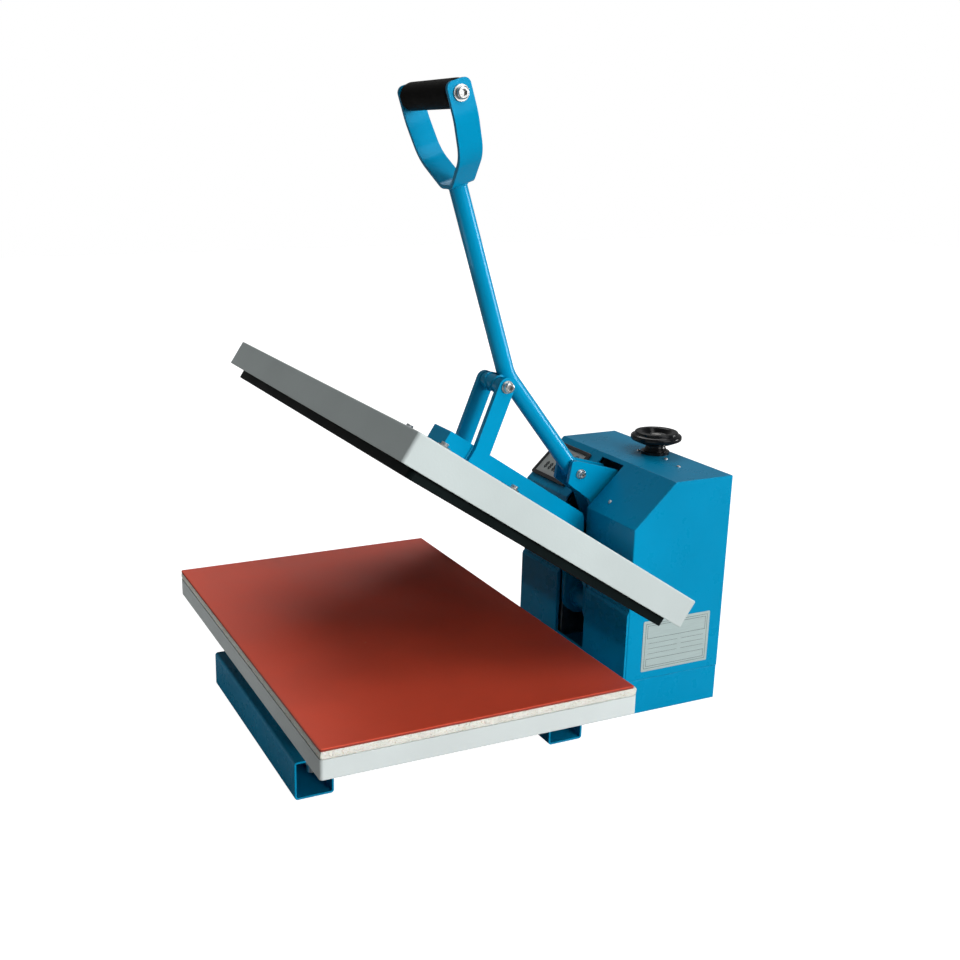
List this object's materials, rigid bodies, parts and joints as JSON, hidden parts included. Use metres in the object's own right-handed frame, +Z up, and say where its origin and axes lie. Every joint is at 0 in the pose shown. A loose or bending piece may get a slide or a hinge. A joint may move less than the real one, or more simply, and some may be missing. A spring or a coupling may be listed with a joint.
{
  "type": "clamshell heat press",
  "caption": "Flat clamshell heat press standing open: fixed lower platen with mat, hinged heated head on swing arms, pull handle with stirrup grip, toggle link and rear housing with pressure knob.",
  "frame": {"origin": "middle of the footprint, on the floor, with the press in its open pose", "axes": "+X is the operator's right, +Y points from the operator to the rear housing, +Z is up"},
  "size_m": [0.616, 0.666, 0.8295],
  "materials": {
    "frame_paint": "gloss",
    "housing_paint": "gloss",
    "arm_paint": "gloss",
    "cover_paint": "satin",
    "tray_paint": "satin",
    "foam": "matte",
    "silicone": "matte",
    "heater_coat": "satin",
    "wool": "matte",
    "zinc": "satin",
    "bolt_steel": "polished",
    "bare_steel": "satin",
    "inner_steel": "satin",
    "knob_black": "gloss",
    "grip_black": "matte",
    "bezel_black": "satin",
    "panel_grey": "satin",
    "lcd": "gloss",
    "button_grey": "satin",
    "switch_black": "gloss",
    "rocker_red": "gloss"
  },
  "bodies": {
    "base": {"front_tube": "frame_paint", "rear_tube": "frame_paint", "spine_front": "frame_paint", "spine_rear": "frame_paint", "rear_base": "housing_paint", "mat": "silicone", "pad": "foam", "tray": "tray_paint", "tray_rail_front": "tray_paint", "tray_rail_rear": "tray_paint", "platen_stud_front_left": "zinc", "platen_stud_front_right": "zinc", "platen_stud_rear_left": "zinc", "platen_stud_rear_right": "zinc", "housing_shell": "housing_paint", "rear_panel": "housing_paint", "apron_left": "housing_paint", "apron_right": "housing_paint", "frame_plate_left": "inner_steel", "frame_plate_right": "inner_steel", "hinge_pin": "bare_steel", "screw_bridge": "inner_steel", "knob_flange": "knob_black", "controller_bezel": "bezel_black", "controller_face": "panel_grey", "display": "lcd", "controller_box": "bezel_black", "switch_frame": "switch_black", "cable_inlet": "switch_black"},
    "head": {"cover": "cover_paint", "insulation": "wool", "heating_plate": "heater_coat", "head_bolt_front_left": "zinc", "head_bolt_front_right": "zinc", "head_bolt_rear_left": "zinc", "head_bolt_rear_right": "zinc", "carrier_box": "arm_paint", "swing_plate_left": "arm_paint", "swing_plate_right": "arm_paint", "hinge_tube": "arm_paint", "arm_bolt": "bolt_steel"},
    "handle": {"handle_tube": "arm_paint", "handle_sleeve": "arm_paint", "lower_bush": "arm_paint", "grip_strap": "arm_paint", "grip": "grip_black", "grip_bolt": "bolt_steel"},
    "link": {"link_plate_left": "arm_paint", "link_plate_right": "arm_paint", "link_spacer": "arm_paint", "link_rear_pin": "bare_steel", "link_bolt": "bolt_steel"},
    "knob": {"knob": "knob_black", "pressure_screw": "bare_steel"},
    "block": {"pressure_block": "bare_steel"},
    "rocker": {"rocker": "rocker_red"},
    "button_1": {"button_1": "button_grey"},
    "button_2": {"button_2": "button_grey"},
    "button_3": {"button_3": "button_grey"},
    "button_4": {"button_4": "button_grey"}
  },
  "joints": [
    {"name": "head_hinge", "type": "hinge", "parent": "base", "child": "head", "pos_m": [0, 0.199, 0.115], "axis": [1, 0, 0], "range_deg": [0, 33.35]},
    {"name": "handle_hinge", "type": "hinge", "parent": "head", "child": "handle", "pos_m": [0, 0.03152, 0.44933], "axis": [1, 0, 0], "range_deg": [0, 9.4]},
    {"name": "link_hinge", "type": "hinge", "parent": "handle", "child": "link", "pos_m": [0, 0.159, 0.315], "axis": [1, 0, 0], "range_deg": [0, 11.3]},
    {"name": "knob_turn", "type": "hinge", "parent": "base", "child": "knob", "pos_m": [0, 0.297, 0.327], "axis": [0, 0, -1], "range_deg": [0, 1440]},
    {"name": "block_slide", "type": "slide", "parent": "base", "child": "block", "axis": [0, 0, -1], "range_m": [0, 0.008]},
    {"name": "rocker_tilt", "type": "hinge", "parent": "base", "child": "rocker", "pos_m": [-0.141, 0.26, 0.104], "axis": [0, -1, 0], "range_deg": [0, 10]},
    {"name": "button_1_press", "type": "slide", "parent": "base", "child": "button_1", "axis": [0, 0.6923, -0.7216], "range_m": [0, 0.001], "stiffness_N_per_m": 300},
    {"name": "button_2_press", "type": "slide", "parent": "base", "child": "button_2", "axis": [0, 0.6923, -0.7216], "range_m": [0, 0.001], "stiffness_N_per_m": 300},
    {"name": "button_3_press", "type": "slide", "parent": "base", "child": "button_3", "axis": [0, 0.6923, -0.7216], "range_m": [0, 0.001], "stiffness_N_per_m": 300},
    {"name": "button_4_press", "type": "slide", "parent": "base", "child": "button_4", "axis": [0, 0.6923, -0.7216], "range_m": [0, 0.001], "stiffness_N_per_m": 300}
  ],
  "couplings": [
    {"joint": "handle_hinge", "follows": "head_hinge", "ratio": 0.28122},
    {"joint": "link_hinge", "follows": "head_hinge", "ratio": 0.33604},
    {"joint": "knob_turn", "follows": "block_slide", "rad_per_m": 3141.5}
  ]
}
